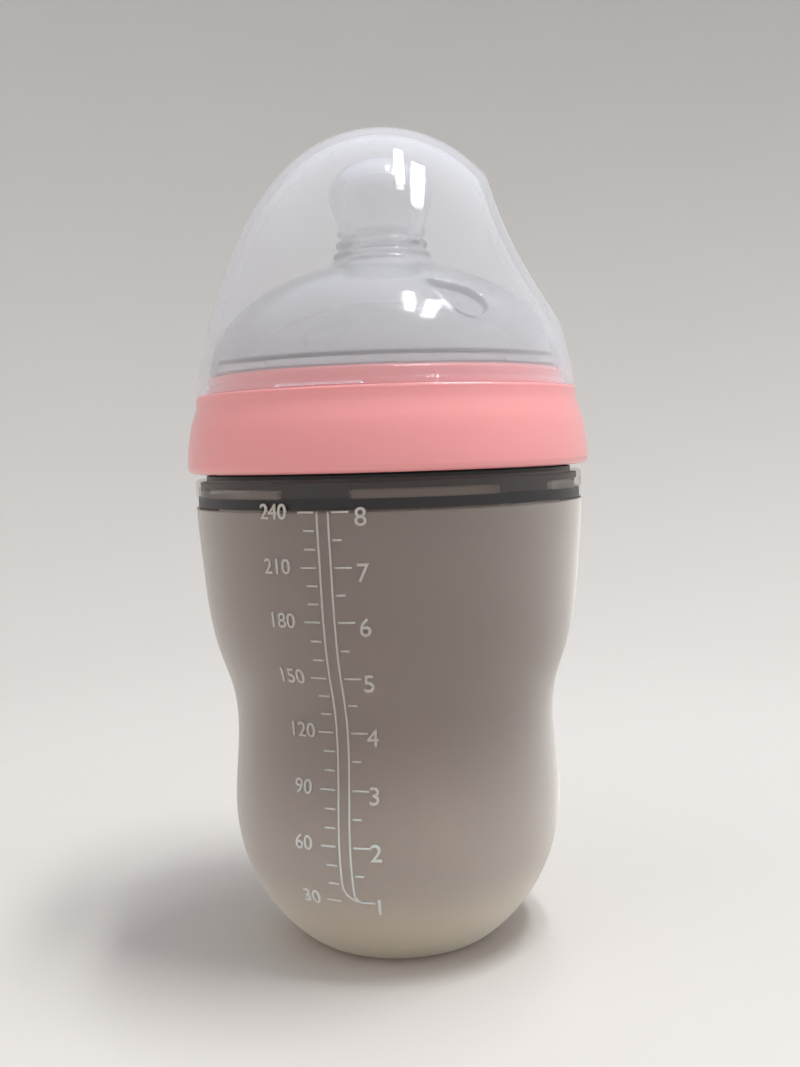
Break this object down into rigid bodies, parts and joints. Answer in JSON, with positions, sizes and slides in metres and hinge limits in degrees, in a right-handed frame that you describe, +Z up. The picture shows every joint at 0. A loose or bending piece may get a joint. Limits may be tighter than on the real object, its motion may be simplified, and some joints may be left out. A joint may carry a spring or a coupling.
{
  "type": "baby bottle",
  "caption": "Soft silicone baby bottle with a threaded collar in its mouth, a screw ring, a wide nipple and a clear dome cap with a thumb scoop.",
  "frame": {"origin": "centre of the base, in the plane it stands on", "axes": "+Z up along the bottle's axis, -Y towards the front with the volume scale, +X towards the cap's thumb scoop"},
  "size_m": [0.0776, 0.0776, 0.1562],
  "materials": {
    "pouch_silicone": "satin translucent silicone",
    "collar_plastic": "fine matt",
    "nipple_silicone": "clear glossy silicone",
    "ring_plastic": "satin gloss",
    "cap_plastic": "clear gloss"
  },
  "bodies": {
    "bottle": {"bottle_body": "pouch_silicone", "neck_collar": "collar_plastic"},
    "teat": {"nipple": "nipple_silicone"},
    "ring": {"screw_ring": "ring_plastic"},
    "cap": {"dome_cap": "cap_plastic"}
  },
  "joints": [
    {"name": "ring_rise", "type": "slide", "parent": "bottle", "child": "teat", "axis": [0, 0, 1], "range_m": [0, 0.0157]},
    {"name": "ring_turn", "type": "hinge", "parent": "teat", "child": "ring", "pos_m": [0, 0, 0.1], "axis": [0, 0, 1], "range_deg": [0, 1080]},
    {"name": "cap_pull", "type": "slide", "parent": "ring", "child": "cap", "axis": [0, 0, 1], "range_m": [0, 0.05]}
  ],
  "couplings": [
    {"joint": "ring_rise", "follows": "ring_turn", "m_per_rad": 0.00082761}
  ]
}
